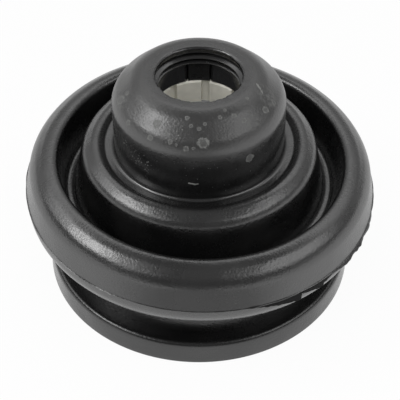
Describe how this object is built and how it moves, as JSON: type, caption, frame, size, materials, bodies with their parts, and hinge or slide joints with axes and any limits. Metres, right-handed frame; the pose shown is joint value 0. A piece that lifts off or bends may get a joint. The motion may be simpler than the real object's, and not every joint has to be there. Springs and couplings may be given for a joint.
{
  "type": "cv joint boot",
  "caption": "Rubber bellows boot for a constant velocity joint: beaded large end with clamp groove, two nested folds, and a domed neck with wiper lips and guide bush.",
  "frame": {"origin": "centre of the large end's flat face, which the boot stands on", "axes": "+Z along the boot's axis, from the large end to the neck; the split ring's gap faces +Y"},
  "size_m": [0.1005, 0.1004, 0.0666],
  "materials": {
    "boot_rubber": "satin moulded rubber",
    "split_ring": "glossy black bearing plastic",
    "guide_bush": "ivory nylon, smooth"
  },
  "bodies": {
    "large_end": {"base_ring": "boot_rubber", "clamp_seat": "boot_rubber"},
    "outer_lobe": {"lobe_underside": "boot_rubber", "lobe_side": "boot_rubber"},
    "outer_fold": {"lobe_shoulder": "boot_rubber", "outer_crest": "boot_rubber"},
    "outer_valley": {"outer_valley_wall": "boot_rubber", "valley_floor": "boot_rubber"},
    "inner_wall": {"inner_lobe_skirt": "boot_rubber", "inner_lobe_wall": "boot_rubber"},
    "inner_lobe": {"inner_lobe_shoulder": "boot_rubber", "inner_crest": "boot_rubber"},
    "neck": {"neck_root": "boot_rubber", "neck_collar": "boot_rubber", "neck_dome": "boot_rubber", "split_ring": "split_ring", "guide_bush": "guide_bush"}
  },
  "joints": [
    {"name": "outer_lobe_plunge", "type": "slide", "parent": "large_end", "child": "outer_lobe", "axis": [0, 0, 1], "range_m": [-0.0024, 0.0032], "stiffness_N_per_m": 4000, "deforming": ["lobe_underside"]},
    {"name": "outer_fold_tilt_x", "type": "hinge", "parent": "outer_lobe", "child": "outer_fold", "pos_m": [0, 0, 0.0145], "axis": [1, 0, 0], "range_deg": [-3.5, 3.5], "stiffness_Nm_per_rad": 6, "deforming": ["lobe_shoulder"]},
    {"name": "outer_valley_tilt_y", "type": "hinge", "parent": "outer_fold", "child": "outer_valley", "pos_m": [0, 0, 0.0145], "axis": [0, 1, 0], "range_deg": [-5, 5], "stiffness_Nm_per_rad": 6, "deforming": ["outer_valley_wall"]},
    {"name": "plunge", "type": "slide", "parent": "outer_valley", "child": "inner_wall", "axis": [0, 0, 1], "range_m": [-0.0036, 0.0048], "stiffness_N_per_m": 4000, "deforming": ["inner_lobe_skirt"]},
    {"name": "articulate_x", "type": "hinge", "parent": "inner_wall", "child": "inner_lobe", "pos_m": [0, 0, 0.0145], "axis": [1, 0, 0], "range_deg": [-6.5, 6.5], "stiffness_Nm_per_rad": 6, "deforming": ["inner_lobe_shoulder"]},
    {"name": "articulate_y", "type": "hinge", "parent": "inner_lobe", "child": "neck", "pos_m": [0, 0, 0.0145], "axis": [0, 1, 0], "range_deg": [-5, 5], "stiffness_Nm_per_rad": 6, "deforming": ["neck_root"]}
  ],
  "couplings": [
    {"joint": "outer_lobe_plunge", "follows": "plunge", "ratio": 0.6666},
    {"joint": "outer_fold_tilt_x", "follows": "articulate_x", "ratio": 0.5384},
    {"joint": "outer_valley_tilt_y", "follows": "articulate_y", "ratio": 1}
  ]
}
